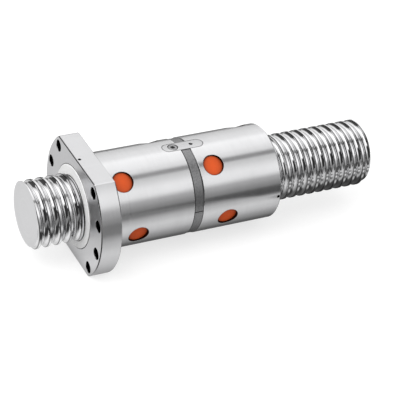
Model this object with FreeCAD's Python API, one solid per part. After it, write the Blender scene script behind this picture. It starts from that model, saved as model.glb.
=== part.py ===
"""Flanged double ball nut with its ball screw, one solid per real piece.

Millimetres.  The origin is the centre of the flange's front face.  +X runs
along the screw towards the rear nut, +Z is the normal of the upper flat and
angles about the axis are measured from +Y towards +Z.
"""
import FreeCAD
import Part
import math
import os

V = FreeCAD.Vector
X_AXIS = V(1, 0, 0)
Z_AXIS = V(0, 0, 1)
# Turns a shape made about Z so that its axis is X and its start angle is +Y.
Z_TO_X = FreeCAD.Placement(V(0, 0, 0), FreeCAD.Rotation(V(1, 1, 1), 120))

# Screw and balls
LEAD = 10.0
SCREW_R = 31.5
SCREW_START_X = -46.0
SCREW_PITCHES = 34
BALL_R = 7.144 / 2
BALL_PITCH_R = 32.6
BALL_PLAY = 0.28
GROOVE_R = BALL_R + BALL_PLAY
CREST_CHAMFER = 0.4
SEAM_TOLERANCE = 1e-4
# Axial position of the groove's centre line on the +Y side, modulo the lead.
GROOVE_PHASE_X = 6.5

# Flanged front nut
FLANGE_R = 65.0
FLANGE_T = 20.0
FLANGE_FLAT_Z = 50.0
FLANGE_CHAMFER = 0.8
BOLT_CIRCLE_R = 57.0
BOLT_HOLE_R = 5.5
BOLT_HOLE_CHAMFER = 0.4
BOLT_ANGLES = (-45, -15, 15, 45, 135, 165, 195, 225)
SPIGOT_R = 45.0
SPIGOT_END_X = 37.5
# Slight taper that leads the spigot into its bore.
SPIGOT_LEAD_IN = 1.2
BODY_R = 44.9
FRONT_NUT_END_X = 101.0
NUT_LAND_R = 33.3
BODY_CHAMFER = 0.6

# Spacer between the nuts, and the rear nut
SPACER_R = 44.3
SPACER_BORE_R = 34.5
SPACER_SPLIT = 0.3
REAR_NUT_START_X = 110.0
REAR_NUT_END_X = 190.0

# Wiper rings in the outer ends of both nuts
SEAT_DEPTH = 6.5
SEAT_R = 39.0
WIPER_PROUD = 0.8
WIPER_SIDE_FIT = 0.03
WIPER_GAP = 0.4
WIPER_EDGE_CHAMFER = 0.5

# Small radial grub screws that hold the wipers
GRUB_R = 1.47
GRUB_HOLE_R = 1.5
GRUB_TIP_DEPTH = 0.55
GRUB_DIMPLE_CLEARANCE = 0.05
FRONT_GRUB_X = 3.3
FRONT_GRUB_LENGTH = 8.0
REAR_GRUB_X = 187.0
REAR_GRUB_LENGTH = 4.5
GRUB_SOCKET_AF = 1.5
GRUB_SOCKET_DEPTH = 1.4

# Ball deflectors, one per ball circuit, stepping round both nuts
CIRCUITS = 5
DEFLECTOR_R = 10.0
DEFLECTOR_FIT = 0.03
DEFLECTOR_TOP_R = 42.4
DEFLECTOR_TOP_CHAMFER = 0.6
DEFLECTOR_STEP_ANGLE = 72.0
DEFLECTOR_STEP_X = LEAD * (1 + DEFLECTOR_STEP_ANGLE / 360)
DEFLECTOR_FIRST_ANGLE = 126.0
FRONT_DEFLECTOR_X = 35.0
REAR_DEFLECTOR_X = 125.0
CROSSING_HALF_ANGLE = 15.2
CROSSING_LIFT = 2.7
CROSSING_LEAD_IN_ANGLE = 5.0
CROSSING_STEPS = 12
BALLS_PER_CIRCUIT = 28

# Key that locks the two nuts together through the spacer
KEY_START_X = 84.5
KEY_END_X = 125.5
KEY_WIDTH = 12.5
KEY_BOTTOM_Z = 40.0
KEY_TOP_R = 44.8
KEY_SIDE_FIT = 0.03
KEY_SCREW_X = 95.3
KEY_BORE_R = 4.9
KEY_FLOOR = 1.7
KEY_THROUGH_R = 2.7
KEY_JACK_X = 113.4
KEY_JACK_R = 1.8
SCREW_HEAD_R = 4.5
SCREW_HEAD_H = 2.8
SCREW_HEAD_CHAMFER = 0.4
SCREW_THREAD_R = 2.47
SCREW_THREAD_HOLE_R = 2.5
SCREW_TIP_Z = 37.5
SCREW_HOLE_BOTTOM_Z = 37.3
SCREW_SOCKET_AF = 4.0
SCREW_SOCKET_DEPTH = 2.0


def cylinder(radius, start_x, end_x):
    """Solid cylinder about the screw axis."""
    return Part.makeCylinder(radius, end_x - start_x, V(start_x, 0, 0), X_AXIS)


def turned(points):
    """Solid of revolution about the screw axis from (x, radius) points, seam on the +Y side."""
    corners = [V(x, radius, 0) for x, radius in points]
    outline = Part.makePolygon(corners + corners[:1])
    return Part.Face(outline).revolve(V(0, 0, 0), X_AXIS, 360)


def radial(shape, x, angle):
    """Move a shape made at x = 0 on the +Z side to a place round the axis."""
    placed = shape.copy()
    placed.rotate(V(0, 0, 0), X_AXIS, angle - 90)
    placed.translate(V(x, 0, 0))
    return placed


def post(radius, low_z, high_z, x=0.0):
    """Solid cylinder standing along +Z."""
    return Part.makeCylinder(radius, high_z - low_z, V(x, 0, low_z), Z_AXIS)


def hexagon(across_flats, low_z, high_z, x=0.0):
    """Six-sided prism standing along +Z."""
    reach = across_flats / math.sqrt(3)
    corners = []
    for i in range(6):
        turn = math.radians(60 * i)
        corners.append(V(x + reach * math.cos(turn), reach * math.sin(turn), low_z))
    return Part.Face(Part.makePolygon(corners + corners[:1])).extrude(V(0, 0, high_z - low_z))


def pitch_profile(arc_radius, land_r, crest_chamfer):
    """Axial outline of one pitch: groove arc between chamfers, then the land.

    The arc is centred on the balls' pitch radius.  It is drawn at the start
    angle of an axis along Z.
    """
    outward = 1 if land_r > BALL_PITCH_R else -1
    edge_r = land_r + outward * crest_chamfer
    half_width = math.sqrt(arc_radius ** 2 - (BALL_PITCH_R - edge_r) ** 2)
    low = V(edge_r, 0, -half_width)
    high = V(edge_r, 0, half_width)
    bottom = V(BALL_PITCH_R + outward * arc_radius, 0, 0)
    start = V(land_r, 0, -half_width - crest_chamfer)
    land = V(land_r, 0, half_width + crest_chamfer)
    arc = Part.Arc(low, bottom, high).toShape()
    flat = Part.makeLine(land, start + V(0, 0, LEAD))
    if crest_chamfer == 0:
        return Part.Wire([arc, flat])
    return Part.Wire([Part.makeLine(start, low), arc, Part.makeLine(high, land), flat])


def one_pitch(profile, land_r):
    """Solid slice of a threaded bar along Z, one lead thick."""
    helix = Part.makeHelix(LEAD, 3 * LEAD, BALL_PITCH_R)
    strip = Part.Wire(helix.Edges).makePipeShell([profile], False, True)
    reach = 2 * land_r
    slab = Part.makeBox(2 * reach, 2 * reach, LEAD, V(-reach, -reach, LEAD))
    sides = strip.common(slab).Faces
    ends = [Part.Face(Part.Wire(Part.makeCircle(reach, V(0, 0, z)))) for z in (LEAD, 2 * LEAD)]
    fused = sides[0].generalFuse(sides[1:] + ends, SEAM_TOLERANCE)[0]
    skin = [face for face in fused.Faces if face.BoundBox.XMax < reach - 1]
    shell = Part.makeCompound(skin)
    shell.sewShape(SEAM_TOLERANCE)
    solid = Part.Solid(shell.Shells[0])
    if solid.Volume < 0:
        solid.reverse()
    solid.translate(V(0, 0, -LEAD))
    return solid


def stacked(unit, count):
    """Fuse copies of a one-pitch slice end to end, by halves."""
    if count == 1:
        return unit.copy()
    half = stacked(unit, count // 2)
    other = half.copy()
    other.translate(V(0, 0, (count // 2) * LEAD))
    whole = half.fuse(other, SEAM_TOLERANCE)
    if count % 2:
        last = unit.copy()
        last.translate(V(0, 0, (count - 1) * LEAD))
        whole = whole.fuse(last, SEAM_TOLERANCE)
    return whole.Solids[0]


def threaded_bar(arc_radius, land_r, crest_chamfer, start_x, pitches):
    """Bar along the screw axis with the ball groove, a whole number of leads long."""
    profile = pitch_profile(arc_radius, land_r, crest_chamfer)
    bar = stacked(one_pitch(profile, land_r), pitches)
    bar.Placement = Z_TO_X
    bar.rotate(V(0, 0, 0), X_AXIS, 360 * (start_x - GROOVE_PHASE_X) / LEAD)
    bar.translate(V(start_x, 0, 0))
    return bar


def nut_bore(start_x, end_x):
    """Threaded space inside a nut, reaching from start_x to end_x or further."""
    pitches = math.ceil((end_x - start_x) / LEAD)
    return threaded_bar(GROOVE_R, NUT_LAND_R, CREST_CHAMFER, start_x, pitches)


def smooth_rise(t):
    """Odd curve from -1 to 1 over t in -1..1, level at both ends."""
    if t < 0:
        return (1 + t) ** 2 - 1
    return 1 - (1 - t) ** 2


def smooth_bump(t):
    """Even curve, 0 at t = -1 and 1, 1 at t = 0, level at all three."""
    if abs(t) > 0.5:
        return 2 * (1 - abs(t)) ** 2
    return 1 - 2 * t * t


def crossing_point(turn):
    """Ball centre while it crosses the land, turn in degrees from the middle."""
    side = LEAD / 2 - LEAD * CROSSING_HALF_ANGLE / 360
    t = turn / CROSSING_HALF_ANGLE
    if abs(t) <= 1:
        x = -side * smooth_rise(t)
        radius = BALL_PITCH_R + CROSSING_LIFT * smooth_bump(t)
    else:
        x = LEAD * turn / 360 - math.copysign(LEAD / 2, turn)
        radius = BALL_PITCH_R
    a = math.radians(turn)
    return V(x, -radius * math.sin(a), radius * math.cos(a))


def circuit_points():
    """Closed ball path of one circuit, deflector in the middle on +Z."""
    points = []
    step = CROSSING_HALF_ANGLE / CROSSING_STEPS
    for i in range(-CROSSING_STEPS, CROSSING_STEPS + 1):
        points.append(crossing_point(i * step))
    helix_steps = 180
    span = 360 - 2 * CROSSING_HALF_ANGLE
    for i in range(1, helix_steps):
        turn = CROSSING_HALF_ANGLE + span * i / helix_steps
        a = math.radians(turn)
        x = LEAD * turn / 360 - LEAD / 2
        points.append(V(x, -BALL_PITCH_R * math.sin(a), BALL_PITCH_R * math.cos(a)))
    return points


def ball_train():
    """Balls of one circuit, evenly spaced along its closed path."""
    points = circuit_points()
    closed = points + points[:1]
    lengths = [(b - a).Length for a, b in zip(closed, closed[1:])]
    spacing = sum(lengths) / BALLS_PER_CIRCUIT
    start = sum(lengths[:CROSSING_STEPS])
    balls = []
    for i in range(BALLS_PER_CIRCUIT):
        target = (start + i * spacing) % sum(lengths)
        passed = 0.0
        for a, b, length in zip(closed, closed[1:], lengths):
            if passed + length >= target:
                centre = a + (b - a) * ((target - passed) / length)
                balls.append(Part.makeSphere(BALL_R, centre))
                break
            passed += length
    return Part.makeCompound(balls)


def deflector():
    """Plastic plug with the S-shaped channel that lifts balls over the land."""
    radius = DEFLECTOR_R - DEFLECTOR_FIT
    plug = post(radius, NUT_LAND_R - 5, DEFLECTOR_TOP_R - DEFLECTOR_TOP_CHAMFER)
    bevel = Part.makeCone(
        radius,
        radius - DEFLECTOR_TOP_CHAMFER,
        DEFLECTOR_TOP_CHAMFER,
        V(0, 0, DEFLECTOR_TOP_R - DEFLECTOR_TOP_CHAMFER),
        Z_AXIS,
    )
    plug = plug.fuse(bevel)
    plug = plug.cut(cylinder(NUT_LAND_R, -2 * DEFLECTOR_R, 2 * DEFLECTOR_R))
    reach = CROSSING_HALF_ANGLE + CROSSING_LEAD_IN_ANGLE
    count = 2 * CROSSING_STEPS
    path_points = [crossing_point(-reach + 2 * reach * i / count) for i in range(count + 1)]
    curve = Part.BSplineCurve()
    curve.interpolate(path_points)
    path = Part.Wire([curve.toShape()])
    start = curve.parameter(path_points[0])
    section = Part.Wire([Part.makeCircle(GROOVE_R, path_points[0], curve.tangent(start)[0])])
    channel = path.makePipeShell([section], True, False)
    return plug.cut(channel).removeSplitter()


def deflector_places(first_x):
    """Axial place and angle of every deflector of one nut."""
    places = []
    for i in range(CIRCUITS):
        places.append((first_x + i * DEFLECTOR_STEP_X, DEFLECTOR_FIRST_ANGLE + i * DEFLECTOR_STEP_ANGLE))
    return places


def deflector_holes(first_x):
    hole = post(DEFLECTOR_R, NUT_LAND_R - 5, SPIGOT_R + 5)
    return [radial(hole, x, angle) for x, angle in deflector_places(first_x)]


def key_outline(half_width, low_z, high_z, end_gap=0.0):
    """Round-ended bar along X between two heights."""
    start_x = KEY_START_X + KEY_WIDTH / 2
    end_x = KEY_END_X - KEY_WIDTH / 2
    bar = Part.makeBox(end_x - start_x, 2 * half_width, high_z - low_z, V(start_x, -half_width, low_z))
    round_r = half_width - end_gap
    return bar.fuse([post(round_r, low_z, high_z, start_x), post(round_r, low_z, high_z, end_x)])


def key_slot():
    return key_outline(KEY_WIDTH / 2, KEY_BOTTOM_Z, SPIGOT_R + 5)


def bolt_holes():
    """Flange holes with a small countersunk edge on both faces."""
    c = BOLT_HOLE_CHAMFER
    r = BOLT_HOLE_R
    tools = []
    for angle in BOLT_ANGLES:
        a = math.radians(angle)
        centre = V(0, BOLT_CIRCLE_R * math.cos(a), BOLT_CIRCLE_R * math.sin(a))
        hole = Part.makeCylinder(r, FLANGE_T + 2, centre - V(1, 0, 0), X_AXIS)
        front = Part.makeCone(r + c, r, c, centre, X_AXIS)
        back = Part.makeCone(r, r + c, c, centre + V(FLANGE_T - c, 0, 0), X_AXIS)
        tools.append(hole.fuse([front, back]))
    return tools


def cut_in_turn(solid, tools):
    """Cut the tools away one after another."""
    for tool in tools:
        solid = solid.cut(tool)
    return solid


def flange():
    disc = cylinder(FLANGE_R, 0, FLANGE_T)
    flats = Part.makeBox(
        FLANGE_T, 3 * FLANGE_R, 2 * FLANGE_FLAT_Z, V(0, -1.5 * FLANGE_R, -FLANGE_FLAT_Z)
    )
    plate = disc.common(flats)
    return plate.makeChamfer(FLANGE_CHAMFER, plate.Edges)


def flanged_nut_body():
    c = BODY_CHAMFER
    barrel = turned([
        (FLANGE_T / 2, 0),
        (FLANGE_T / 2, SPIGOT_R),
        (SPIGOT_END_X - SPIGOT_LEAD_IN, SPIGOT_R),
        (SPIGOT_END_X, BODY_R),
        (FRONT_NUT_END_X - c, BODY_R),
        (FRONT_NUT_END_X, BODY_R - c),
        (FRONT_NUT_END_X, 0),
    ])
    solid = flange().fuse(barrel)
    seat_flare = Part.makeCone(
        SEAT_R + BODY_CHAMFER, SEAT_R, BODY_CHAMFER, V(0, 0, 0), X_AXIS
    )
    tools = [
        nut_bore(SEAT_DEPTH - 1, FRONT_NUT_END_X + 1),
        cylinder(SEAT_R, -1, SEAT_DEPTH),
        seat_flare,
        key_slot(),
        post(SCREW_THREAD_HOLE_R, SCREW_HOLE_BOTTOM_Z, KEY_BOTTOM_Z + 1, KEY_SCREW_X),
        post(GRUB_HOLE_R, SEAT_R - 1, FLANGE_FLAT_Z + 1, FRONT_GRUB_X),
    ]
    tools += bolt_holes()
    tools += deflector_holes(FRONT_DEFLECTOR_X)
    return cut_in_turn(solid, tools)


def rear_nut_body():
    c = BODY_CHAMFER
    barrel = turned([
        (REAR_NUT_START_X, 0),
        (REAR_NUT_START_X, BODY_R - c),
        (REAR_NUT_START_X + c, BODY_R),
        (REAR_NUT_END_X - 2 * c, BODY_R),
        (REAR_NUT_END_X, BODY_R - 2 * c),
        (REAR_NUT_END_X, 0),
    ])
    grub_hole = post(GRUB_HOLE_R, SEAT_R - 1, BODY_R + 2)
    tools = [
        nut_bore(REAR_NUT_START_X - 1, REAR_NUT_END_X - SEAT_DEPTH + 1),
        cylinder(SEAT_R, REAR_NUT_END_X - SEAT_DEPTH, REAR_NUT_END_X + 1),
        key_slot(),
        radial(grub_hole, REAR_GRUB_X, 180),
    ]
    tools += deflector_holes(REAR_DEFLECTOR_X)
    return cut_in_turn(barrel, tools)


def spacer_half(upper):
    """Half of the split ring that sets the preload between the nuts."""
    ring = cylinder(SPACER_R, FRONT_NUT_END_X, REAR_NUT_START_X)
    ring = ring.cut(cylinder(SPACER_BORE_R, FRONT_NUT_END_X - 1, REAR_NUT_START_X + 1))
    reach = 2 * SPACER_R
    low_z = SPACER_SPLIT / 2 if upper else -reach
    keep = Part.makeBox(
        REAR_NUT_START_X - FRONT_NUT_END_X,
        2 * reach,
        reach - SPACER_SPLIT / 2,
        V(FRONT_NUT_END_X, -reach, low_z),
    )
    half = ring.common(keep)
    return half.cut(key_slot()) if upper else half


def coupling_key():
    half_width = KEY_WIDTH / 2 - KEY_SIDE_FIT
    blank = key_outline(half_width, KEY_BOTTOM_Z, SPIGOT_R + 2, KEY_SIDE_FIT)
    blank = blank.common(cylinder(KEY_TOP_R, KEY_START_X - 5, KEY_END_X + 5))
    tools = [
        post(KEY_THROUGH_R, KEY_BOTTOM_Z - 1, SPIGOT_R + 2, KEY_SCREW_X),
        post(KEY_BORE_R, KEY_BOTTOM_Z + KEY_FLOOR, SPIGOT_R + 2, KEY_SCREW_X),
        post(KEY_JACK_R, KEY_BOTTOM_Z - 1, SPIGOT_R + 2, KEY_JACK_X),
    ]
    return blank.cut(tools).removeSplitter()


def key_screw():
    """Low-headed socket screw; the plain shank stands at thread diameter."""
    head_z = KEY_BOTTOM_Z + KEY_FLOOR
    top_z = head_z + SCREW_HEAD_H
    c = SCREW_HEAD_CHAMFER
    head = post(SCREW_HEAD_R, head_z, top_z - c, KEY_SCREW_X)
    bevel = Part.makeCone(SCREW_HEAD_R, SCREW_HEAD_R - c, c, V(KEY_SCREW_X, 0, top_z - c), Z_AXIS)
    shank = post(SCREW_THREAD_R, SCREW_TIP_Z, head_z, KEY_SCREW_X)
    socket = hexagon(SCREW_SOCKET_AF, top_z - SCREW_SOCKET_DEPTH, top_z + 1, KEY_SCREW_X)
    return head.fuse([bevel, shank]).cut(socket).removeSplitter()


def grub_screw(length):
    """Headless socket screw whose flat tip sits in the wiper's dimple."""
    tip_z = SEAT_R - GRUB_TIP_DEPTH
    top_z = tip_z + length
    socket = hexagon(GRUB_SOCKET_AF, top_z - GRUB_SOCKET_DEPTH, top_z + 1)
    return post(GRUB_R, tip_z, top_z).cut(socket)


def wiper(start_x, end_x, grub_x, grub_angle, chamfer_start):
    """Ring with a tongue that follows the screw's groove."""
    outer_r = SEAT_R - WIPER_SIDE_FIT
    bore_r = SCREW_R + WIPER_GAP
    c = WIPER_EDGE_CHAMFER
    if chamfer_start:
        outline = [(start_x, 0), (start_x, outer_r - c), (start_x + c, outer_r), (end_x, outer_r), (end_x, 0)]
    else:
        outline = [(start_x, 0), (start_x, outer_r), (end_x - c, outer_r), (end_x, outer_r - c), (end_x, 0)]
    ring = turned(outline).cut(threaded_bar(GROOVE_R - WIPER_GAP, bore_r, 0, start_x - LEAD, 3))
    dimple_z = SEAT_R - GRUB_TIP_DEPTH - GRUB_DIMPLE_CLEARANCE
    dimple = post(GRUB_R + GRUB_DIMPLE_CLEARANCE, dimple_z, SEAT_R + 1)
    return ring.cut(radial(dimple, grub_x, grub_angle))


def screw_shaft():
    """Length of ball screw with plain cut ends."""
    return threaded_bar(GROOVE_R, SCREW_R, CREST_CHAMFER, SCREW_START_X, SCREW_PITCHES)


def pieces():
    """Every node with its shape."""
    shapes = {
        "flanged_nut_body": flanged_nut_body(),
        "rear_nut_body": rear_nut_body(),
        "spacer_ring_upper": spacer_half(True),
        "spacer_ring_lower": spacer_half(False),
        "coupling_key": coupling_key(),
        "key_screw": key_screw(),
        "front_wiper": wiper(-WIPER_PROUD, SEAT_DEPTH, FRONT_GRUB_X, 90, True),
        "rear_wiper": wiper(
            REAR_NUT_END_X - SEAT_DEPTH, REAR_NUT_END_X + WIPER_PROUD, REAR_GRUB_X, 180, False
        ),
        "front_wiper_grub_screw": radial(grub_screw(FRONT_GRUB_LENGTH), FRONT_GRUB_X, 90),
        "rear_wiper_grub_screw": radial(grub_screw(REAR_GRUB_LENGTH), REAR_GRUB_X, 180),
        "screw_shaft": screw_shaft(),
    }
    plug = deflector()
    train = ball_train()
    for nut, first_x in (("front", FRONT_DEFLECTOR_X), ("rear", REAR_DEFLECTOR_X)):
        for number, (x, angle) in enumerate(deflector_places(first_x), start=1):
            shapes[f"{nut}_deflector_{number}"] = radial(plug, x, angle)
            shapes[f"{nut}_ball_train_{number}"] = radial(train, x, angle)
    return shapes


def main():
    os.makedirs("parts", exist_ok=True)
    for name, shape in pieces().items():
        shape.exportStep(f"parts/{name}.step")
        print(name, "solids", len(shape.Solids), "volume", round(shape.Volume), "valid", shape.isValid())


main()
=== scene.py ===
"""Finish and studio for a double ball screw nut on its screw, laid out as a Blender add-on."""

import math

import bmesh
import bpy
from mathutils import Matrix, Vector


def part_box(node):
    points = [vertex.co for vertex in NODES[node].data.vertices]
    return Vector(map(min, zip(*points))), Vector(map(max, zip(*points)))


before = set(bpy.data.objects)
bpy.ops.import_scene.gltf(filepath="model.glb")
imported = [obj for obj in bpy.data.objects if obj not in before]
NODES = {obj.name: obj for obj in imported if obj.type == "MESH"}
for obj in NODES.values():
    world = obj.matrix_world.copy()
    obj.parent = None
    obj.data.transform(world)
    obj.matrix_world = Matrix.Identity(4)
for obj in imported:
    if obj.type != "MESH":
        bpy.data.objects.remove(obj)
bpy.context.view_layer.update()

bl_info = {
    "name": "Double Ball Screw Nut Finish",
    "version": (1, 0, 0),
    "blender": (4, 5, 0),
    "location": "3D View > Sidebar > Ball Nut",
    "description": "Gives the double ball nut and its screw their steel and plastic finishes",
    "category": "Object",
}

# The CAD nodes, and the boxes of those whose places the finishes follow
FLANGE_LOW, FLANGE_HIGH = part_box("flanged_nut_body")
KEY_LOW, KEY_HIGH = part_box("coupling_key")
SPACER_LOW, SPACER_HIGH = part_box("spacer_ring_upper")

# The flange's ring of bolt holes: its radius, and how far each hole reaches to either side of it
BOLT_CIRCLE_R = 0.057
BOLT_HOLE_REACH = 0.0062
# How far under the flange's flats a wall has to lie to count as inside
FLAT_MARGIN = 0.0002

# How much of a face's normal has to lie along the screw for the face to count as an end
END_FACE_LEAN = 0.9

# Colours
WHITE = (1.0, 1.0, 1.0, 1.0)
# Light grey laid over edges, partly as wear and partly as a painted highlight
WORN_EDGE_HIGHLIGHT = (0.9, 0.9, 0.9, 1.0)
# Near-black colours of painted shade, for corners, holes, seams, the key's rim and the thread's lines
DEEP_SHADE = (0.01, 0.01, 0.01, 1.0)
PAINTED_SHADE_DARK = (0.02, 0.019, 0.018, 1.0)

# Roughness of turned end faces, and of the nuts' smoothest and dullest places
FACED_ROUGHNESS = 0.34
NUT_GLOSS = (0.13, 0.24)

# Kinds of socket at the ends of the node groups
VALUE = "NodeSocketFloat"
VECTOR = "NodeSocketVector"


def nodes_named(*parts):
    """The CAD nodes whose names hold one of the given words."""
    return [NODES[name] for name in sorted(NODES) if any(part in name for part in parts)]


# Helpers for node trees


def add_node(tree, kind, inputs=None, **settings):
    """Adds a node, sets its properties, and fills its inputs with values or links."""
    made = tree.nodes.new(kind)
    for name, value in settings.items():
        setattr(made, name, value)
    for key, value in (inputs or {}).items():
        if isinstance(value, bpy.types.NodeSocket):
            tree.links.new(value, made.inputs[key])
        else:
            made.inputs[key].default_value = value
    return made


def calc(tree, operation, a, b=0.0, c=None, clamp=False):
    """One Math node; a, b and c are numbers or sockets."""
    inputs = {0: a, 1: b}
    if c is not None:
        inputs[2] = c
    return add_node(tree, "ShaderNodeMath", inputs, operation=operation, use_clamp=clamp).outputs[0]


def blend_values(tree, share, low, high):
    """The value low where share is 0 and the value high where it is 1."""
    inputs = {"Factor": share, "A": low, "B": high}
    return add_node(tree, "ShaderNodeMix", inputs, data_type="FLOAT").outputs["Result"]


def map_range(tree, value, start, end, **settings):
    """0 where value is at start and 1 where it is at end."""
    inputs = {"Value": value, "From Min": start, "From Max": end}
    return add_node(tree, "ShaderNodeMapRange", inputs, **settings).outputs[0]


def blend_colours(tree, share, low, high):
    """The colour low where share is 0 and the colour high where it is 1."""
    mix = add_node(tree, "ShaderNodeMix", {"Factor": share}, data_type="RGBA")
    for socket, value in ((mix.inputs[6], low), (mix.inputs[7], high)):
        if isinstance(value, bpy.types.NodeSocket):
            tree.links.new(value, socket)
        else:
            socket.default_value = value
    return mix.outputs[2]


def lay_over(tree, mask, strength, shade, colour):
    """Lays a colour over the shade where the mask is 1, at the given strength."""
    return blend_colours(tree, calc(tree, "MULTIPLY", mask, strength), shade, colour)


def rgba(colour, factor=1.0):
    """A colour property as four numbers, made darker or lighter by factor."""
    return (colour[0] * factor, colour[1] * factor, colour[2] * factor, 1.0)


def split_vector(tree, vector):
    """The x, y and z of a vector socket."""
    return add_node(tree, "ShaderNodeSeparateXYZ", {0: vector}).outputs


def join_vector(tree, x=0.0, y=0.0, z=0.0):
    """One vector from three numbers or sockets."""
    return add_node(tree, "ShaderNodeCombineXYZ", {0: x, 1: y, 2: z}).outputs[0]


def from_axis(tree, y, z):
    """The distance from the screw's axis."""
    return calc(tree, "SQRT", calc(tree, "ADD", calc(tree, "MULTIPLY", y, y), calc(tree, "MULTIPLY", z, z)))


def seen_directly(tree):
    """1 for the rays of cameras, mirrors and glass, and 0 for the rays that only light things."""
    rays = add_node(tree, "ShaderNodeLightPath")
    seen = calc(tree, "MAXIMUM", rays.outputs["Is Camera Ray"], rays.outputs["Is Glossy Ray"])
    return calc(tree, "MAXIMUM", seen, rays.outputs["Is Transmission Ray"])


def new_group(name, inputs, outputs):
    """An empty shader node group with named float inputs and named outputs, and its two end nodes."""
    group = bpy.data.node_groups.new(name, "ShaderNodeTree")
    for label, default in inputs.items():
        socket = group.interface.new_socket(label, in_out="INPUT", socket_type=VALUE)
        socket.default_value = default
    for label, kind in outputs.items():
        group.interface.new_socket(label, in_out="OUTPUT", socket_type=kind)
    return group, group.nodes.new("NodeGroupInput"), group.nodes.new("NodeGroupOutput")


def place_group(tree, name, **inputs):
    """Places a finished group in a material's tree; input names are written with underscores."""
    made = tree.nodes.new("ShaderNodeGroup")
    made.node_tree = bpy.data.node_groups[name]
    for label, value in inputs.items():
        made.inputs[label.replace("_", " ")].default_value = value
    return made


# Shared effects


def streaky_noise(tree, vector):
    """The noise that machining lines are made of, at one unit of the vector per line."""
    inputs = {"Vector": vector, "Scale": 1.0, "Detail": 2.0, "Roughness": 0.6}
    return add_node(tree, "ShaderNodeTexNoise", inputs).outputs[0]


def build_machining_marks():
    """Fine lines round the screw's axis, rings on end faces, and straight lines on the flange's flats."""
    group, given, result = new_group(
        "Machining marks",
        {"Spacing": 0.0002, "Mark length": 0.03, "Flat height": 1.0},
        {"Height": VALUE, "Streak": VALUE, "End face": VALUE},
    )
    place = add_node(group, "ShaderNodeTexCoord")
    x, y, z = split_vector(group, place.outputs["Object"])
    facing = split_vector(group, place.outputs["Normal"])
    end_face = calc(group, "GREATER_THAN", calc(group, "ABSOLUTE", facing[0]), END_FACE_LEAN)
    on_flat = calc(group, "GREATER_THAN", calc(group, "ABSOLUTE", z), given.outputs["Flat height"])
    on_round = blend_values(group, end_face, x, from_axis(group, y, z))
    across = blend_values(group, on_flat, on_round, y)
    along_y = calc(group, "DIVIDE", y, given.outputs["Mark length"])
    along_z = calc(group, "DIVIDE", z, given.outputs["Mark length"])
    streaks = []
    for coarseness in (1.0, 7.0):
        steps = calc(group, "DIVIDE", across, calc(group, "MULTIPLY", given.outputs["Spacing"], coarseness))
        streaks.append(streaky_noise(group, join_vector(group, steps, along_y, along_z)))
    group.links.new(blend_values(group, 0.35, streaks[0], streaks[1]), result.inputs["Height"])
    group.links.new(blend_values(group, 0.6, streaks[0], streaks[1]), result.inputs["Streak"])
    group.links.new(end_face, result.inputs["End face"])


def build_oil_film():
    """Soft patches where a thin film of oil or a touch changes the gloss."""
    group, given, result = new_group("Oil film", {"Patch size": 0.03}, {"Patches": VALUE})
    place = add_node(group, "ShaderNodeTexCoord")
    scale = calc(group, "DIVIDE", 1.0, given.outputs["Patch size"])
    inputs = {"Vector": place.outputs["Object"], "Scale": scale, "Detail": 4.0}
    broad = add_node(group, "ShaderNodeTexNoise", inputs)
    patches = map_range(group, broad.outputs[0], 0.35, 0.68, interpolation_type="SMOOTHSTEP")
    group.links.new(patches, result.inputs["Patches"])


def build_worn_and_highlighted_edges():
    """Rounds the shading of edges, and gives a mask of the edges, which the materials lighten partly as wear
    and partly as a painted highlight.
    """
    group, given, result = new_group("Worn and highlighted edges", {"Width": 0.0005}, {"Normal": VECTOR, "Edge": VALUE})
    bevel = add_node(group, "ShaderNodeBevel", {"Radius": given.outputs["Width"]}, samples=6)
    surface = add_node(group, "ShaderNodeNewGeometry")
    inputs = {0: bevel.outputs[0], 1: surface.outputs["Normal"]}
    agreement = add_node(group, "ShaderNodeVectorMath", inputs, operation="DOT_PRODUCT").outputs["Value"]
    edge = calc(group, "MULTIPLY", calc(group, "SUBTRACT", 1.0, agreement), 6.0, clamp=True)
    group.links.new(bevel.outputs[0], result.inputs["Normal"])
    group.links.new(edge, result.inputs["Edge"])


def build_corner_shade():
    """A mask of narrow gaps and inner corners, where the materials paint shade.

    It starts where less than the open share of the view is free and is full at the closed share."""
    inputs = {"Reach": 0.002, "Open": 0.75, "Closed": 0.3}
    group, given, result = new_group("Corner shade", inputs, {"Painted shade": VALUE})
    distance = {"Distance": given.outputs["Reach"]}
    free = add_node(group, "ShaderNodeAmbientOcclusion", distance, samples=8).outputs["AO"]
    shade_mask = map_range(group, free, given.outputs["Open"], given.outputs["Closed"])
    group.links.new(shade_mask, result.inputs["Painted shade"])


def build_thread_lines():
    """Helical lines of the screw's thread: masks of its crest's edges and of the relief at its root, which
    the screw's material paints dark as shade, and grinding lines.

    Distances across the thread are shares of its lead, measured from the root."""
    group, given, result = new_group(
        "Thread lines",
        {"Lead": 0.01, "Start": 0.0065, "Crest edge": 0.372, "Line width": 0.055, "Grinding lines": 30.0},
        {"Edges": VALUE, "Root shade": VALUE, "Grinding": VALUE},
    )
    place = add_node(group, "ShaderNodeTexCoord")
    x, y, z = split_vector(group, place.outputs["Object"])
    turn = calc(group, "DIVIDE", calc(group, "ARCTAN2", z, y), 2 * math.pi)
    along = calc(group, "DIVIDE", calc(group, "SUBTRACT", x, given.outputs["Start"]), given.outputs["Lead"])
    wrapped = calc(group, "WRAP", calc(group, "SUBTRACT", along, turn), 0.5, -0.5)
    from_root = calc(group, "ABSOLUTE", wrapped)
    off_edge = calc(group, "ABSOLUTE", calc(group, "SUBTRACT", from_root, given.outputs["Crest edge"]))
    for label, distance, width in (("Edges", off_edge, 1.0), ("Root shade", from_root, 0.6)):
        reach = calc(group, "MULTIPLY", given.outputs["Line width"], width)
        group.links.new(map_range(group, distance, reach, 0.0), result.inputs[label])
    steps = calc(group, "MULTIPLY", from_root, given.outputs["Grinding lines"])
    fine = map_range(group, streaky_noise(group, join_vector(group, steps, turn)), 0.5, 0.68)
    group.links.new(fine, result.inputs["Grinding"])


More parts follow.
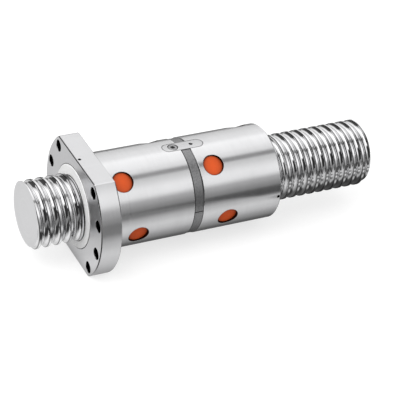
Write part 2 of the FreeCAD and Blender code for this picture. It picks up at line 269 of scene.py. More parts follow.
def build_opening_walls():
    """A mask of the walls inside the bolt holes and the deflector pockets, which the nuts' material paints
    dark as shade.
    """
    group, given, result = new_group("Opening wall shade", {"Body radius": 0.0449}, {"Walls": VALUE})
    place = add_node(group, "ShaderNodeTexCoord")
    _, y, z = split_vector(group, place.outputs["Object"])
    facing = split_vector(group, place.outputs["Normal"])
    radius = from_axis(group, y, z)
    along_axis = calc(group, "LESS_THAN", calc(group, "ABSOLUTE", facing[0]), 0.3)
    between = calc(group, "COMPARE", radius, BOLT_CIRCLE_R, BOLT_HOLE_REACH)
    below_flat = calc(group, "LESS_THAN", calc(group, "ABSOLUTE", z), FLANGE_HIGH.z - FLAT_MARGIN)
    bolt_hole = calc(group, "MULTIPLY", calc(group, "MULTIPLY", along_axis, between), below_flat)
    outward = calc(group, "ADD", calc(group, "MULTIPLY", facing[1], y), calc(group, "MULTIPLY", facing[2], z))
    sideways = calc(group, "LESS_THAN", outward, calc(group, "MULTIPLY", radius, 0.5))
    under_skin = calc(group, "LESS_THAN", radius, given.outputs["Body radius"])
    clear_of_ends = calc(group, "LESS_THAN", calc(group, "ABSOLUTE", facing[0]), 0.999)
    pocket = calc(group, "MULTIPLY", calc(group, "MULTIPLY", sideways, under_skin), clear_of_ends)
    group.links.new(calc(group, "MAXIMUM", bolt_hole, pocket), result.inputs["Walls"])


def build_spacer_seams():
    """A mask of the lines where the spacer meets the nuts and where it is split, which the spacer's material
    paints dark as shade in the seams.
    """
    inputs = {"Line width": 0.0007, "Full dark": 0.0003}
    group, given, result = new_group("Spacer seam shade", inputs, {"Shade lines": VALUE})
    place = add_node(group, "ShaderNodeTexCoord")
    x, _, z = split_vector(group, place.outputs["Object"])
    middle = (SPACER_LOW.x + SPACER_HIGH.x) / 2
    half = (SPACER_HIGH.x - SPACER_LOW.x) / 2
    from_edge = calc(group, "SUBTRACT", half, calc(group, "ABSOLUTE", calc(group, "SUBTRACT", x, middle)))
    nearest = calc(group, "MINIMUM", from_edge, calc(group, "ABSOLUTE", z))
    shade_lines = map_range(group, nearest, given.outputs["Line width"], given.outputs["Full dark"])
    group.links.new(shade_lines, result.inputs["Shade lines"])


def build_key_rim():
    """A mask of the thin line round the key's top, where it drops into its slot, which the key's material
    paints dark as shade in the gap.
    """
    group, given, result = new_group("Key rim shade", {"Line width": 0.0011}, {"Shade lines": VALUE})
    place = add_node(group, "ShaderNodeTexCoord")
    x, y, _ = split_vector(group, place.outputs["Object"])
    middle = (KEY_LOW.x + KEY_HIGH.x) / 2
    half_width = (KEY_HIGH.y - KEY_LOW.y) / 2
    straight = (KEY_HIGH.x - KEY_LOW.x) / 2 - half_width
    off_middle = calc(group, "ABSOLUTE", calc(group, "SUBTRACT", x, middle))
    past_straight = calc(group, "MAXIMUM", calc(group, "SUBTRACT", off_middle, straight), 0.0)
    flat = join_vector(group, past_straight, y)
    reach = add_node(group, "ShaderNodeVectorMath", {0: flat}, operation="LENGTH").outputs["Value"]
    start = calc(group, "SUBTRACT", half_width, given.outputs["Line width"])
    group.links.new(map_range(group, reach, start, half_width), result.inputs["Shade lines"])


def build_fine_specks():
    """Small scattered specks and the grain between them."""
    group, given, result = new_group("Fine specks", {"Speck size": 0.001}, {"Specks": VALUE, "Grain": VALUE})
    place = add_node(group, "ShaderNodeTexCoord")
    scale = calc(group, "DIVIDE", 1.0, given.outputs["Speck size"])
    inputs = {"Vector": place.outputs["Object"], "Scale": scale}
    cells = add_node(group, "ShaderNodeTexVoronoi", inputs)
    grain = add_node(group, "ShaderNodeTexNoise", {**inputs, "Detail": 3.0})
    group.links.new(map_range(group, cells.outputs["Distance"], 0.32, 0.12), result.inputs["Specks"])
    group.links.new(grain.outputs[0], result.inputs["Grain"])


# Materials


def new_material(name):
    """An empty material with a Principled shader joined to its output; returns both."""
    material = bpy.data.materials.new(name)
    material.use_nodes = True
    tree = material.node_tree
    tree.nodes.clear()
    shader = add_node(tree, "ShaderNodeBsdfPrincipled")
    add_node(tree, "ShaderNodeOutputMaterial", {"Surface": shader.outputs[0]})
    return material, tree, shader


def bump(tree, height, distance, normal):
    """A Bump node that lays fine relief over the given normal."""
    inputs = {"Height": height, "Distance": distance, "Normal": normal}
    return add_node(tree, "ShaderNodeBump", inputs).outputs[0]


def steel_material(name, colour, gloss, spacing, relief, shade_reach=0.0015, flat_height=1.0, corner_shade=0.25,
                   anisotropy=0.45, edge_width=0.0006, threaded=False, shaded_openings=False, shaded_key_rim=False):
    """Machined steel: lines in gloss and relief, oil patches, edges lightened partly as wear and partly as a
    painted highlight, and painted shade in corners, holes, the key's rim and the thread's lines.

    gloss holds the roughness of the smoothest and of the dullest places."""
    material, tree, shader = new_material(name)
    marks = place_group(tree, "Machining marks", Spacing=spacing, Flat_height=flat_height)
    film = place_group(tree, "Oil film", Patch_size=0.035)
    edges = place_group(tree, "Worn and highlighted edges", Width=edge_width)
    corners = place_group(tree, "Corner shade", Reach=shade_reach)
    shade = blend_colours(tree, marks.outputs["Streak"], rgba(colour, 0.93), rgba(colour, 1.06))
    shade = lay_over(tree, film.outputs[0], 0.12, shade, rgba(colour, 0.8))
    # Edges lightened, partly as wear and partly as a painted highlight
    shade = lay_over(tree, edges.outputs["Edge"], 0.6, shade, WORN_EDGE_HIGHLIGHT)
    # Painted shade: dark in corners and narrow gaps, by how little of the view is free there
    shade = lay_over(tree, corners.outputs[0], corner_shade, shade, PAINTED_SHADE_DARK)
    if threaded:
        thread = place_group(tree, "Thread lines")
        off_ends = calc(tree, "SUBTRACT", 1.0, marks.outputs["End face"])
        ground = calc(tree, "MULTIPLY", thread.outputs["Grinding"], off_ends)
        shade = lay_over(tree, ground, 0.55, shade, rgba(colour, 0.25))
        # Painted shade: dark helical lines at the thread's crest edges and at its root
        shade_lines = calc(tree, "MAXIMUM", thread.outputs["Edges"], thread.outputs["Root shade"])
        shade = lay_over(tree, calc(tree, "MULTIPLY", shade_lines, off_ends), 0.9, shade, PAINTED_SHADE_DARK)
    if shaded_openings:
        # Painted shade on the walls inside the bolt holes and the deflector pockets
        shade = lay_over(tree, place_group(tree, "Opening wall shade").outputs[0], 0.93, shade, PAINTED_SHADE_DARK)
    if shaded_key_rim:
        # Painted shade: a dark line round the key's top, where it drops into its slot
        shade = lay_over(tree, place_group(tree, "Key rim shade").outputs[0], 0.85, shade, PAINTED_SHADE_DARK)
    from_streaks = calc(tree, "MULTIPLY", marks.outputs["Streak"], 0.6)
    from_film = calc(tree, "MULTIPLY", film.outputs[0], 0.4)
    rough_share = calc(tree, "ADD", from_streaks, from_film, clamp=True)
    turned = blend_values(tree, rough_share, gloss[0], gloss[1])
    roughness = blend_values(tree, marks.outputs["End face"], turned, FACED_ROUGHNESS)
    tree.links.new(shade, shader.inputs["Base Color"])
    tree.links.new(roughness, shader.inputs["Roughness"])
    lined = bump(tree, marks.outputs["Height"], relief, edges.outputs["Normal"])
    tree.links.new(lined, shader.inputs["Normal"])
    shader.inputs["Metallic"].default_value = 1.0
    shader.inputs["Anisotropic"].default_value = anisotropy
    shader.inputs["Anisotropic Rotation"].default_value = 0.25
    around = add_node(tree, "ShaderNodeTangent", direction_type="RADIAL", axis="X")
    tree.links.new(around.outputs[0], shader.inputs["Tangent"])
    return material


def blackened_material(name, colour, gloss, speck_size, seams=False):
    """Dark steel with a mottled oxide skin, edges lightened partly as wear and partly as a painted highlight,
    painted shade in corners, and painted shade in the spacer's seams where it has them.
    """
    material, tree, shader = new_material(name)
    skin = place_group(tree, "Fine specks", Speck_size=speck_size)
    edges = place_group(tree, "Worn and highlighted edges", Width=0.0004)
    corners = place_group(tree, "Corner shade", Reach=0.0012)
    shade = blend_colours(tree, skin.outputs["Grain"], rgba(colour, 0.45), rgba(colour, 1.6))
    shade = lay_over(tree, skin.outputs["Specks"], 0.35, shade, rgba(colour, 0.3))
    # Edges lightened, partly as worn oxide and partly as a painted highlight
    shade = lay_over(tree, edges.outputs["Edge"], 0.5, shade, rgba(colour, 2.4))
    # Painted shade, nearly black, in corners and narrow gaps
    shade = lay_over(tree, corners.outputs[0], 0.8, shade, DEEP_SHADE)
    if seams:
        # Painted shade: dark lines in the spacer's seams
        shade = lay_over(tree, place_group(tree, "Spacer seam shade").outputs[0], 0.9, shade, PAINTED_SHADE_DARK)
    tree.links.new(shade, shader.inputs["Base Color"])
    tree.links.new(blend_values(tree, skin.outputs["Grain"], gloss[0], gloss[1]), shader.inputs["Roughness"])
    relief = bump(tree, skin.outputs["Grain"], 0.00004, edges.outputs["Normal"])
    tree.links.new(relief, shader.inputs["Normal"])
    shader.inputs["Metallic"].default_value = 1.0
    return material


def plastic_material(name, colour, gloss, speck_size, relief, lathe_share, shade_reach, sheen):
    """Moulded or turned plastic: a slight grain, faint lines, painted shade in corners, and softened edges
    lightened partly as wear and partly as a painted highlight.
    """
    material, tree, shader = new_material(name)
    skin = place_group(tree, "Fine specks", Speck_size=speck_size)
    marks = place_group(tree, "Machining marks", Spacing=0.0005)
    edges = place_group(tree, "Worn and highlighted edges", Width=0.0004)
    corners = place_group(tree, "Corner shade", Reach=shade_reach, Open=0.97, Closed=0.6)
    film = place_group(tree, "Oil film", Patch_size=0.012)
    shade = blend_colours(tree, skin.outputs["Grain"], rgba(colour, 0.92), rgba(colour, 1.05))
    shade = lay_over(tree, film.outputs[0], 0.25, shade, rgba(colour, 0.86))
    # Edges lightened, partly as wear and partly as a painted highlight
    shade = lay_over(tree, edges.outputs["Edge"], 0.3, shade, rgba(colour, 1.15))
    # Painted shade in corners and round each deflector's recessed rim
    shade = lay_over(tree, corners.outputs[0], 0.8, shade, rgba(colour, 0.12))
    tree.links.new(shade, shader.inputs["Base Color"])
    tree.links.new(blend_values(tree, skin.outputs["Grain"], gloss[0], gloss[1]), shader.inputs["Roughness"])
    height = blend_values(tree, lathe_share, skin.outputs["Grain"], marks.outputs["Height"])
    tree.links.new(bump(tree, height, relief, edges.outputs["Normal"]), shader.inputs["Normal"])
    shader.inputs["IOR"].default_value = 1.5
    shader.inputs["Specular IOR Level"].default_value = sheen
    return material


def dress(objects, material):
    """Gives CAD nodes one material."""
    for piece in objects:
        piece.data.materials.clear()
        piece.data.materials.append(material)


# Settings


class BALLNUT_PG_steel(bpy.types.PropertyGroup):
    """Ground and polished steel"""

    nut_colour: bpy.props.FloatVectorProperty(
        name="Nut colour", description="Colour of the two nuts' ground steel",
        subtype="COLOR", default=(0.72, 0.72, 0.73), min=0.0, max=1.0)
    key_colour: bpy.props.FloatVectorProperty(
        name="Key colour", description="Colour of the coupling key's steel",
        subtype="COLOR", default=(0.62, 0.62, 0.63), min=0.0, max=1.0)
    screw_colour: bpy.props.FloatVectorProperty(
        name="Screw colour", description="Colour of the screw's hardened steel",
        subtype="COLOR", default=(0.88, 0.88, 0.89), min=0.0, max=1.0)
    ball_colour: bpy.props.FloatVectorProperty(
        name="Ball colour", description="Colour of the polished balls",
        subtype="COLOR", default=(0.8, 0.8, 0.82), min=0.0, max=1.0)
    mark_spacing: bpy.props.FloatProperty(
        name="Mark spacing", description="Distance from one grinding line to the next",
        subtype="DISTANCE", unit="LENGTH", default=0.0003, min=0.00005, precision=5)


class BALLNUT_PG_dark_parts(bpy.types.PropertyGroup):
    """Blackened steel of the spacer and the screws"""

    spacer_colour: bpy.props.FloatVectorProperty(
        name="Spacer colour", description="Colour of the spacer ring's dark steel",
        subtype="COLOR", default=(0.28, 0.28, 0.285), min=0.0, max=1.0)
    fastener_colour: bpy.props.FloatVectorProperty(
        name="Fastener colour", description="Colour of the black oxide on the grub screws",
        subtype="COLOR", default=(0.06, 0.06, 0.065), min=0.0, max=1.0)
    screw_head_colour: bpy.props.FloatVectorProperty(
        name="Screw head colour", description="Colour of the worn oxide on the key's screw",
        subtype="COLOR", default=(0.36, 0.36, 0.365), min=0.0, max=1.0)


class BALLNUT_PG_plastic(bpy.types.PropertyGroup):
    """Plastic of the deflectors and the wipers"""

    deflector_colour: bpy.props.FloatVectorProperty(
        name="Deflector colour", description="Orange of the moulded ball deflectors",
        subtype="COLOR", default=(0.66, 0.085, 0.01), min=0.0, max=1.0)
    wiper_colour: bpy.props.FloatVectorProperty(
        name="Wiper colour", description="White of the turned wiper rings",
        subtype="COLOR", default=(0.93, 0.93, 0.925), min=0.0, max=1.0)


class BALLNUT_PG_studio(bpy.types.PropertyGroup):
    """Floor, lamps and light tent"""

    floor_colour: bpy.props.FloatVectorProperty(
        name="Floor colour", description="Colour of the pale floor",
        subtype="COLOR", default=(0.4, 0.4, 0.4), min=0.0, max=1.0)
    floor_lift: bpy.props.FloatProperty(
        name="Floor lift", description="How much the floor is brought up towards white",
        subtype="FACTOR", default=0.66, min=0.0, max=1.0)
    sky_strength: bpy.props.FloatProperty(
        name="Sky strength", description="Strength of the even light from all round",
        default=1.0, min=0.0)
    key_power: bpy.props.FloatProperty(
        name="Key lamp power", description="Power of the large soft lamp at the upper left",
        subtype="POWER", unit="POWER", default=7.0, min=0.0)
    tent_radius: bpy.props.FloatProperty(
        name="Tent radius", description="Radius of the light tent that the steel mirrors",
        subtype="DISTANCE", unit="LENGTH", default=1.2, min=0.3)


class BALLNUT_PG_camera(bpy.types.PropertyGroup):
    """Place and lens of the camera"""

    place: bpy.props.FloatVectorProperty(
        name="Place", description="Where the camera stands",
        subtype="TRANSLATION", unit="LENGTH", default=(-0.5490, -1.2128, 0.9308))
    azimuth: bpy.props.FloatProperty(
        name="Azimuth", description="Angle that the view turns from +Y towards +X",
        subtype="ANGLE", unit="ROTATION", default=math.radians(29.2323))
    elevation: bpy.props.FloatProperty(
        name="Elevation", description="Angle at which the view looks down",
        subtype="ANGLE", unit="ROTATION", default=math.radians(34.4186))
    roll: bpy.props.FloatProperty(
        name="Roll", description="Turn of the camera about its view, which lifts the right-hand end",
        subtype="ANGLE", unit="ROTATION", default=math.radians(6.2996))
    lens: bpy.props.FloatProperty(
        name="Lens", description="Focal length in millimetres", default=161.534, min=10.0)


# Operators for the pieces


class BALLNUT_OT_shared_effects(bpy.types.Operator):
    """Build the node groups that more than one finish uses"""

    bl_idname = "ballnut.shared_effects"
    bl_label = "Build Shared Effects"

    def execute(self, context):
        build_machining_marks()
        build_oil_film()
        build_worn_and_highlighted_edges()
        build_corner_shade()
        build_thread_lines()
        build_opening_walls()
        build_spacer_seams()
        build_key_rim()
        build_fine_specks()
        return {"FINISHED"}


class BALLNUT_OT_front_nut(bpy.types.Operator):
    """Give the flanged front nut its ground steel"""

    bl_idname = "ballnut.front_nut"
    bl_label = "Finish Front Nut"

    def execute(self, context):
        steel = context.scene.ballnut_steel
        flat = FLANGE_HIGH.z - FLAT_MARGIN
        finish = steel_material("ground_flange_steel", steel.nut_colour, NUT_GLOSS, steel.mark_spacing,
                                relief=0.000003, flat_height=flat, corner_shade=0.6, shaded_openings=True)
        dress([NODES["flanged_nut_body"]], finish)
        return {"FINISHED"}


class BALLNUT_OT_rear_nut(bpy.types.Operator):
    """Give the plain rear nut its ground steel"""

    bl_idname = "ballnut.rear_nut"
    bl_label = "Finish Rear Nut"

    def execute(self, context):
        steel = context.scene.ballnut_steel
        finish = steel_material("ground_nut_steel", steel.nut_colour, NUT_GLOSS, steel.mark_spacing,
                                relief=0.000003, corner_shade=0.6, shaded_openings=True)
        dress([NODES["rear_nut_body"]], finish)
        return {"FINISHED"}


class BALLNUT_OT_spacer(bpy.types.Operator):
    """Give both halves of the spacer ring their dark steel"""

    bl_idname = "ballnut.spacer"
    bl_label = "Finish Spacer Ring"

    def execute(self, context):
        dark = context.scene.ballnut_dark_parts
        finish = blackened_material("blackened_spacer_steel", dark.spacer_colour, (0.28, 0.5), 0.0012,
                                    seams=True)
        dress(nodes_named("spacer_ring"), finish)
        return {"FINISHED"}


class BALLNUT_OT_key(bpy.types.Operator):
    """Give the coupling key its milled steel"""

    bl_idname = "ballnut.key"
    bl_label = "Finish Coupling Key"

    def execute(self, context):
        steel = context.scene.ballnut_steel
        finish = steel_material("milled_key_steel", steel.key_colour, (0.2, 0.34), 0.0004,
                                relief=0.000006, shade_reach=0.001, corner_shade=0.9, anisotropy=0.2, shaded_key_rim=True)
        dress([NODES["coupling_key"]], finish)
        return {"FINISHED"}


class BALLNUT_OT_fasteners(bpy.types.Operator):
    """Give the key's screw its worn oxide and the wipers' grub screws black oxide"""

    bl_idname = "ballnut.fasteners"
    bl_label = "Finish Fasteners"

    def execute(self, context):
        dark = context.scene.ballnut_dark_parts
        black = blackened_material("black_oxide_steel", dark.fastener_colour, (0.3, 0.5), 0.0005)
        worn = blackened_material("worn_oxide_steel", dark.screw_head_colour, (0.25, 0.4), 0.0008)
        dress(nodes_named("grub_screw"), black)
        dress([NODES["key_screw"]], worn)
        return {"FINISHED"}


class BALLNUT_OT_wipers(bpy.types.Operator):
    """Give both wiper rings their white plastic"""

    bl_idname = "ballnut.wipers"
    bl_label = "Finish Wipers"

    def execute(self, context):
        plastic = context.scene.ballnut_plastic
        finish = plastic_material("white_wiper_plastic", plastic.wiper_colour, (0.3, 0.45), 0.0008,
                                  relief=0.00001, lathe_share=0.7, shade_reach=0.0008, sheen=0.5)
        dress([NODES["front_wiper"], NODES["rear_wiper"]], finish)
        return {"FINISHED"}


class BALLNUT_OT_deflectors(bpy.types.Operator):
    """Give the ten ball deflectors their orange plastic"""

    bl_idname = "ballnut.deflectors"
    bl_label = "Finish Deflectors"

    def execute(self, context):
        plastic = context.scene.ballnut_plastic
        finish = plastic_material("orange_deflector_plastic", plastic.deflector_colour, (0.42, 0.58), 0.0006,
                                  # The wide shade reach paints shade round the rim of each recessed deflector
                                  relief=0.00002, lathe_share=0.1, shade_reach=0.008, sheen=0.2)
        dress(nodes_named("deflector"), finish)
        return {"FINISHED"}


class BALLNUT_OT_balls(bpy.types.Operator):
    """Give the balls their polished steel"""

    bl_idname = "ballnut.balls"
    bl_label = "Finish Balls"

    def execute(self, context):
        steel = context.scene.ballnut_steel
        finish = steel_material("polished_ball_steel", steel.ball_colour, (0.05, 0.1), 0.0004,
                                relief=0.000001, anisotropy=0.0, edge_width=0.0001)
        dress(nodes_named("ball_train"), finish)
        return {"FINISHED"}


class BALLNUT_OT_screw(bpy.types.Operator):
    """Give the ball screw its hardened and ground steel"""

    bl_idname = "ballnut.screw"
    bl_label = "Finish Ball Screw"

    def execute(self, context):
        steel = context.scene.ballnut_steel
        finish = steel_material("ground_screw_steel", steel.screw_colour, (0.03, 0.09), 0.00025,
                                relief=0.0000015, shade_reach=0.002, corner_shade=0.3, anisotropy=0.0,
                                edge_width=0.00015, threaded=True)
        dress([NODES["screw_shaft"]], finish)
        return {"FINISHED"}


# Stage


def stage_object(name, mesh_builder, material):
    """A mesh that belongs to the studio and not to the part."""
    mesh = bpy.data.meshes.new(name)
    solid = bmesh.new()
    mesh_builder(solid)
    solid.to_mesh(mesh)
    solid.free()
    mesh.materials.append(material)
    made = bpy.data.objects.new(name, mesh)
    bpy.context.scene.collection.objects.link(made)
    return made


def seen_by_mirrors_only(card):
    """Hides a reflector card from everything except glossy rays."""
    card.visible_camera = False
    card.visible_diffuse = False
    card.visible_transmission = False
    card.visible_shadow = False
    card.visible_volume_scatter = False


def glow_material(name, strength_of):
    """A material that only glows; strength_of builds its strength from the tree and the place's x, y, z."""
    material = bpy.data.materials.new(name)
    material.use_nodes = True
    tree = material.node_tree
    tree.nodes.clear()
    place = add_node(tree, "ShaderNodeTexCoord")
    strength = strength_of(tree, *split_vector(tree, place.outputs["Object"]))
    glow = add_node(tree, "ShaderNodeEmission", {"Color": WHITE, "Strength": strength})
    add_node(tree, "ShaderNodeOutputMaterial", {"Surface": glow.outputs[0]})
    return material


def grey_steps(tree, measure, start, end, bands):
    """A smooth grey ramp over a measure from start to end.

    bands are pairs of the measure, rising, and the brightness there, up to BRIGHTEST."""
    span = end - start
    share = calc(tree, "DIVIDE", calc(tree, "SUBTRACT", measure, start), span)
    ramp = add_node(tree, "ShaderNodeValToRGB", {0: share})
    ramp.color_ramp.interpolation = "EASE"
    spots = ramp.color_ramp.elements
    for index, (mark, level) in enumerate(bands):
        place = (mark - start) / span
        spot = spots[index] if index < len(spots) else spots.new(place)
        spot.position = place
        spot.color = rgba((level / BRIGHTEST,) * 3)
    return calc(tree, "MULTIPLY", ramp.outputs[0], BRIGHTEST)


# The most that a band's brightness may be
BRIGHTEST = 2.0

# The light tent: its ends along the screw, its angles from +Y over the top towards -Y, and its arch's steps
TENT_LEFT, TENT_RIGHT = -1.1, 1.0
TENT_START, TENT_END = -10.0, 190.0
TENT_STEPS = 80
# Its grey bands over the part: angle in degrees, and brightness
TENT_BANDS = (
    (-8, 0.45), (2, 0.8), (40, 1.05), (56, 1.3), (72, 1.2), (94, 1.0),
    (102, 0.33), (107, 0.33), (112, 0.8), (140, 1.15), (150, 1.1), (165, 0.5),
    (180, 0.32), (190, 0.26),
)
# The same ahead of the flange, which the thread's flanks mirror, and where one blends into the other
TENT_AHEAD_BANDS = (
    (-8, 0.07), (38, 0.07), (52, 0.9), (70, 1.4), (128, 1.4), (140, 0.03), (190, 0.02),
)
TENT_AHEAD_FROM, TENT_AHEAD_TO = 0.2, -0.1
# The tent's end walls: brightness in front of the axis, and from a distance behind it
END_WALL_FRONT, END_WALL_BEHIND = 0.04, 0.8
END_WALL_BLEND = 0.6
END_WALL_MARGIN = 1.02

# The reflector mat under the part: its size, and its height over the floor
MAT_HALF_WIDTH = 1.2
MAT_LIFT = 0.0005
# Its grey bands behind the part: distance along Y in metres, and brightness
MAT_BEHIND_BANDS = (
    (0.02, 0.1), (0.06, 0.4), (0.085, 0.8), (0.11, 0.7), (0.14, 0.22), (0.4, 0.25), (1.2, 0.4),
)
# All its bands under the two nuts
MAT_BANDS = (
    (-1.2, 0.3), (-0.3, 0.24), (-0.22, 0.24), (-0.17, 0.45), (-0.13, 0.62), (-0.085, 0.8), (-0.065, 0.7),
    (-0.045, 0.4), (-0.028, 0.12), *MAT_BEHIND_BANDS,
)
# The same beyond the rear nut, where the screw's lower half mirrors the mat
BEYOND_BANDS = (
    (-1.2, 0.3), (-0.3, 0.1), (-0.16, 0.08), (-0.125, 0.7), (-0.1, 0.1), (-0.085, 0.9), (-0.068, 0.08),
    (-0.05, 0.6), (-0.035, 0.05), *MAT_BEHIND_BANDS,
)
BEYOND_FROM, BEYOND_TO = 0.215, 0.225
# The same ahead of the flange, which its front face mirrors
AHEAD_BANDS = (
    (-1.2, 0.3), (-0.2, 0.25), (-0.13, 0.04), (-0.06, 0.04), (-0.045, 0.5), (-0.03, 0.95),
    (-0.005, 0.7), (0.06, 0.75), (0.2, 0.7), (1.2, 0.6),
)
AHEAD_FROM, AHEAD_TO = 0.01, -0.01

# The floor, and the place near the part's middle that the key lamp points at
FLOOR_RADIUS = 8.0
MIDDLE = Vector((0.1, 0.0, 0.0))
KEY_LAMP_PLACE = (-0.55, -0.25, 1.1)
KEY_LAMP_SIZE = 0.9


def tent_brightness(tree, x, y, z):
    """Brightness of the tent by its angle about the screw's axis, over the part and ahead of it."""
    degrees = calc(tree, "DEGREES", calc(tree, "ARCTAN2", z, y))
    below_front = calc(tree, "LESS_THAN", degrees, -90.0)
    angle = calc(tree, "ADD", degrees, calc(tree, "MULTIPLY", below_front, 360.0))
    over, ahead = (
        grey_steps(tree, angle, TENT_START, TENT_END, bands) for bands in (TENT_BANDS, TENT_AHEAD_BANDS)
    )
    return blend_values(tree, map_range(tree, x, TENT_AHEAD_FROM, TENT_AHEAD_TO), over, ahead)


def end_brightness(tree, x, y, z):
    """Brightness of the tent's end walls: nearly black in front, grey behind the part."""
    return blend_values(tree, map_range(tree, y, 0.0, END_WALL_BLEND), END_WALL_FRONT, END_WALL_BEHIND)


def mat_brightness(tree, x, y, z):
    """Brightness of the mat by its distance in front of or behind the part, along three stretches."""
    under, ahead, beyond = (
        grey_steps(tree, y, -MAT_HALF_WIDTH, MAT_HALF_WIDTH, bands)
        for bands in (MAT_BANDS, AHEAD_BANDS, BEYOND_BANDS)
    )
    near = blend_values(tree, map_range(tree, x, AHEAD_FROM, AHEAD_TO), under, ahead)
    return blend_values(tree, map_range(tree, x, BEYOND_FROM, BEYOND_TO), near, beyond)


def floor_material(colour, lift):
    """A pale floor that cameras and mirrors see close to white, with the part's shadow on it."""
    material, tree, shader = new_material("pale_floor")
    grain = add_node(tree, "ShaderNodeTexNoise", {"Scale": 60.0, "Detail": 3.0})
    tint = blend_colours(tree, grain.outputs[0], rgba(colour, 0.985), rgba(colour, 1.0))
    tree.links.new(tint, shader.inputs["Base Color"])
    shader.inputs["Roughness"].default_value = 0.9
    shader.inputs["Emission Color"].default_value = WHITE
    glow = calc(tree, "MULTIPLY", seen_directly(tree), lift)
    tree.links.new(glow, shader.inputs["Emission Strength"])
    return material


class BALLNUT_OT_floor(bpy.types.Operator):
    """Lay the pale floor under the flange"""

    bl_idname = "ballnut.floor"
    bl_label = "Lay Floor"

    def execute(self, context):
        studio = context.scene.ballnut_studio

        def disc(solid):
            place = Matrix.Translation((MIDDLE.x, MIDDLE.y, FLANGE_LOW.z))
            bmesh.ops.create_circle(solid, cap_ends=True, segments=96, radius=FLOOR_RADIUS, matrix=place)

        stage_object("floor", disc, floor_material(studio.floor_colour, studio.floor_lift))
        return {"FINISHED"}


class BALLNUT_OT_light_tent(bpy.types.Operator):
    """Set up the tent and the mat whose grey bands the steel mirrors"""

    bl_idname = "ballnut.light_tent"
    bl_label = "Set Up Light Tent"

    def execute(self, context):
        radius = context.scene.ballnut_studio.tent_radius

        def arch(solid):
            rows = []
            for step in range(TENT_STEPS + 1):
                angle = math.radians(TENT_START + (TENT_END - TENT_START) * step / TENT_STEPS)
                y, z = radius * math.cos(angle), radius * math.sin(angle)
                rows.append([solid.verts.new((x, y, z)) for x in (TENT_LEFT, TENT_RIGHT)])
            for near, far in zip(rows, rows[1:]):
                solid.faces.new((near[0], near[1], far[1], far[0]))

        def end_walls(solid):
            reach = radius * END_WALL_MARGIN
            for x in (TENT_LEFT, TENT_RIGHT):
                place = Matrix.Translation((x, 0, 0)) @ Matrix.Rotation(math.radians(90), 4, "Y")
                bmesh.ops.create_circle(solid, cap_ends=True, segments=64, radius=reach, matrix=place)

        def mat(solid):
            level = FLANGE_LOW.z + MAT_LIFT
            corners = ((TENT_LEFT, -1), (TENT_RIGHT, -1), (TENT_RIGHT, 1), (TENT_LEFT, 1))
            solid.faces.new([solid.verts.new((x, side * MAT_HALF_WIDTH, level)) for x, side in corners])

        cards = (
            stage_object("tent_arch", arch, glow_material("tent_bands", tent_brightness)),
            stage_object("tent_ends", end_walls, glow_material("tent_end_grey", end_brightness)),
            stage_object("tent_mat", mat, glow_material("mat_bands", mat_brightness)),
        )
        for card in cards:
            seen_by_mirrors_only(card)
        return {"FINISHED"}


class BALLNUT_OT_lamps(bpy.types.Operator):
    """Add the soft key lamp and the even sky"""

    bl_idname = "ballnut.lamps"
    bl_label = "Add Lamps and Sky"

    def execute(self, context):
        studio = context.scene.ballnut_studio
        lamp = bpy.data.lights.new("key_lamp", "AREA")
        lamp.shape = "SQUARE"
        lamp.size = KEY_LAMP_SIZE
        lamp.energy = studio.key_power
        holder = bpy.data.objects.new("key_lamp", lamp)
        holder.location = KEY_LAMP_PLACE
        holder.rotation_euler = (MIDDLE - holder.location).to_track_quat("-Z", "Y").to_euler()
        holder.visible_camera = False
        holder.visible_glossy = False
        context.scene.collection.objects.link(holder)

        world = bpy.data.worlds.new("white_sky")
        world.use_nodes = True
        tree = world.node_tree
        tree.nodes.clear()
        strength = blend_values(tree, seen_directly(tree), studio.sky_strength, 1.0)
        sky = add_node(tree, "ShaderNodeBackground", {"Color": WHITE, "Strength": strength})
        add_node(tree, "ShaderNodeOutputWorld", {"Surface": sky.outputs[0]})
        context.scene.world = world
        context.scene.view_settings.view_transform = "Standard"
        return {"FINISHED"}


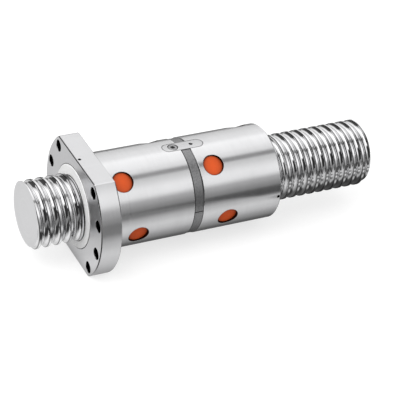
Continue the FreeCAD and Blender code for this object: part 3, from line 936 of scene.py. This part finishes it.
class BALLNUT_OT_camera(bpy.types.Operator):
    """Put the camera at the catalogue view"""

    bl_idname = "ballnut.camera"
    bl_label = "Place Camera"

    def execute(self, context):
        seat = context.scene.ballnut_camera
        flat = math.cos(seat.elevation)
        across = math.sin(seat.azimuth) * flat
        away = math.cos(seat.azimuth) * flat
        view = Vector((across, away, -math.sin(seat.elevation)))
        turn = view.to_track_quat("-Z", "Y").to_matrix() @ Matrix.Rotation(seat.roll, 3, "Z")
        lens = bpy.data.cameras.new("catalogue_view")
        lens.sensor_fit = "HORIZONTAL"
        lens.sensor_width = 36.0
        lens.lens = seat.lens
        lens.clip_start = 0.05
        lens.clip_end = 50.0
        camera = bpy.data.objects.new("catalogue_view", lens)
        camera.matrix_world = Matrix.Translation(seat.place) @ turn.to_4x4()
        context.scene.collection.objects.link(camera)
        context.scene.camera = camera
        return {"FINISHED"}


STEPS = (
    BALLNUT_OT_shared_effects,
    BALLNUT_OT_front_nut,
    BALLNUT_OT_rear_nut,
    BALLNUT_OT_spacer,
    BALLNUT_OT_key,
    BALLNUT_OT_fasteners,
    BALLNUT_OT_wipers,
    BALLNUT_OT_deflectors,
    BALLNUT_OT_balls,
    BALLNUT_OT_screw,
    BALLNUT_OT_floor,
    BALLNUT_OT_light_tent,
    BALLNUT_OT_lamps,
    BALLNUT_OT_camera,
)

SETTINGS = {
    "ballnut_steel": BALLNUT_PG_steel,
    "ballnut_dark_parts": BALLNUT_PG_dark_parts,
    "ballnut_plastic": BALLNUT_PG_plastic,
    "ballnut_studio": BALLNUT_PG_studio,
    "ballnut_camera": BALLNUT_PG_camera,
}


class BALLNUT_PT_finish(bpy.types.Panel):
    """Lists the settings and the steps that finish the ball nut"""

    bl_idname = "BALLNUT_PT_finish"
    bl_label = "Ball Nut Finish"
    bl_space_type = "VIEW_3D"
    bl_region_type = "UI"
    bl_category = "Ball Nut"

    def draw(self, context):
        for name, group in SETTINGS.items():
            box = self.layout.box()
            for prop in group.__annotations__:
                box.prop(getattr(context.scene, name), prop)
        for step in STEPS:
            self.layout.operator(step.bl_idname)


def register():
    """Registers the settings, the operators and the panel."""
    for name, group in SETTINGS.items():
        bpy.utils.register_class(group)
        setattr(bpy.types.Scene, name, bpy.props.PointerProperty(type=group))
    for step in STEPS:
        bpy.utils.register_class(step)
    bpy.utils.register_class(BALLNUT_PT_finish)


def unregister():
    """Takes the panel, the operators and the settings out again."""
    bpy.utils.unregister_class(BALLNUT_PT_finish)
    for step in reversed(STEPS):
        bpy.utils.unregister_class(step)
    for name, group in SETTINGS.items():
        delattr(bpy.types.Scene, name)
        bpy.utils.unregister_class(group)


def main():
    register()
    for step in STEPS:
        family, name = step.bl_idname.split(".")
        getattr(getattr(bpy.ops, family), name)()


if __name__ == "__main__":
    main()
